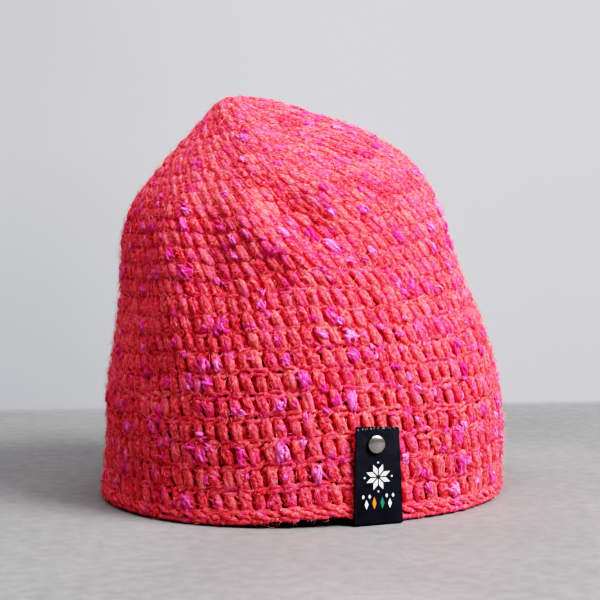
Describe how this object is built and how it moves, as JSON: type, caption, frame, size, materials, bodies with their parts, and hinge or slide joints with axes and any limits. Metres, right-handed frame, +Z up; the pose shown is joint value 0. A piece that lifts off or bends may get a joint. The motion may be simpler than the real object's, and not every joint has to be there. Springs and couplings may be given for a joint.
{
  "type": "crocheted wool beanie",
  "caption": "Crocheted wool beanie standing on its rim, with a leaning crown, an edging round, a fleece lining band and a riveted tab folded under the rim.",
  "frame": {"origin": "on the ground under the middle of the hat's extent, at the level of the lining's hem", "axes": "+Z up towards the crown, -Y towards the front, where the tab sits a little to the right, +X to the wearer's left"},
  "size_m": [0.1792, 0.1762, 0.1765],
  "materials": {
    "wool_yarn": "hairy coral-red wool yarn with glossy pink slubs, crocheted in rounds",
    "edging_yarn": "the same wool yarn in a firm slip-stitch round",
    "fleece": "dark brushed fleece with a short matt pile",
    "coated_strap": "black coated strap, satin, with a small printed motif",
    "rivet_metal": "satin nickel plate"
  },
  "bodies": {
    "root": {"crochet_shell": "wool_yarn", "rim_edging": "edging_yarn", "fleece_lining": "fleece", "label_tab": "coated_strap", "rivet_cap": "rivet_metal", "rivet_post": "rivet_metal"}
  },
  "joints": []
}
